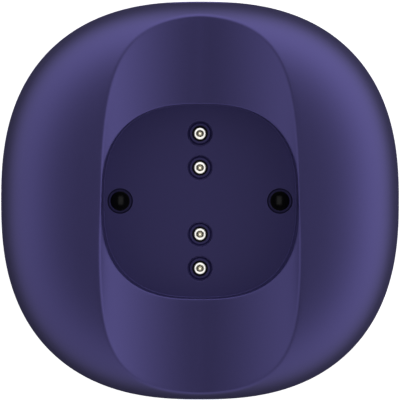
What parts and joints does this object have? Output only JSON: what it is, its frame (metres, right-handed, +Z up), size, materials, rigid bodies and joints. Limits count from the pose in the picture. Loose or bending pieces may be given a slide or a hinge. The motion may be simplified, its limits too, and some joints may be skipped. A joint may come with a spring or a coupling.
{
  "type": "toothbrush charging dock",
  "caption": "Square-round charging dock with a sloping channel for the handle and a pocket holding sprung contacts and glossy studs.",
  "frame": {"origin": "on the table, under the middle of the body", "axes": "+Z up, +X to the right, +Y to the back where the power inlet is; the channel runs along Y and falls towards -Y"},
  "size_m": [0.066, 0.066, 0.0287],
  "materials": {
    "indigo_shell": "satin moulded ABS, deep indigo",
    "foot_rubber": "matte dark silicone rubber",
    "seal_rubber": "soft silicone",
    "plate_steel": "zinc-plated pressed steel",
    "pad_foam": "closed-cell adhesive foam",
    "board_laminate": "green solder mask on glass-epoxy laminate",
    "chip_epoxy": "moulded black epoxy",
    "coil_ferrite": "pressed ferrite",
    "capacitor_ceramic": "sintered ceramic",
    "screw_steel": "nickel-plated steel",
    "socket_steel": "drawn stainless steel",
    "socket_plastic": "glass-filled black nylon",
    "barrel_plate": "turned brass with bright plating",
    "tip_gold": "turned brass with gold plating",
    "spring_steel": "drawn spring wire",
    "stud_black": "polished black acrylic",
    "magnet_plate": "nickel-plated magnet"
  },
  "bodies": {
    "dock": {"upper_shell": "indigo_shell", "lower_housing": "indigo_shell", "parting_seal": "seal_rubber", "foot_ring": "foot_rubber", "ballast_plate": "plate_steel", "ballast_pad": "pad_foam", "contact_board": "board_laminate", "charge_controller_chip": "chip_epoxy", "board_inductor": "coil_ferrite", "board_capacitors": "capacitor_ceramic", "board_screws": "screw_steel", "housing_screws": "screw_steel", "socket_shell": "socket_steel", "socket_tongue": "socket_plastic", "locating_stud_left": "stud_black", "locating_stud_right": "stud_black", "holding_magnet_left": "magnet_plate", "holding_magnet_right": "magnet_plate", "pin_barrel_1": "barrel_plate", "pin_spring_1": "spring_steel", "pin_seal_1": "seal_rubber", "pin_barrel_2": "barrel_plate", "pin_spring_2": "spring_steel", "pin_seal_2": "seal_rubber", "pin_barrel_3": "barrel_plate", "pin_spring_3": "spring_steel", "pin_seal_3": "seal_rubber", "pin_barrel_4": "barrel_plate", "pin_spring_4": "spring_steel", "pin_seal_4": "seal_rubber"},
    "contact_1": {"pin_plunger_1": "tip_gold"},
    "contact_2": {"pin_plunger_2": "tip_gold"},
    "contact_3": {"pin_plunger_3": "tip_gold"},
    "contact_4": {"pin_plunger_4": "tip_gold"}
  },
  "joints": [
    {"name": "contact_press_1", "type": "slide", "parent": "dock", "child": "contact_1", "axis": [0, 0, -1], "range_m": [0, 0.0009], "stiffness_N_per_m": 600, "springref_m": -0.0007, "deforming": ["pin_spring_1"]},
    {"name": "contact_press_2", "type": "slide", "parent": "dock", "child": "contact_2", "axis": [0, 0, -1], "range_m": [0, 0.0009], "stiffness_N_per_m": 600, "springref_m": -0.0007, "deforming": ["pin_spring_2"]},
    {"name": "contact_press_3", "type": "slide", "parent": "dock", "child": "contact_3", "axis": [0, 0, -1], "range_m": [0, 0.0009], "stiffness_N_per_m": 600, "springref_m": -0.0007, "deforming": ["pin_spring_3"]},
    {"name": "contact_press_4", "type": "slide", "parent": "dock", "child": "contact_4", "axis": [0, 0, -1], "range_m": [0, 0.0009], "stiffness_N_per_m": 600, "springref_m": -0.0007, "deforming": ["pin_spring_4"]}
  ]
}
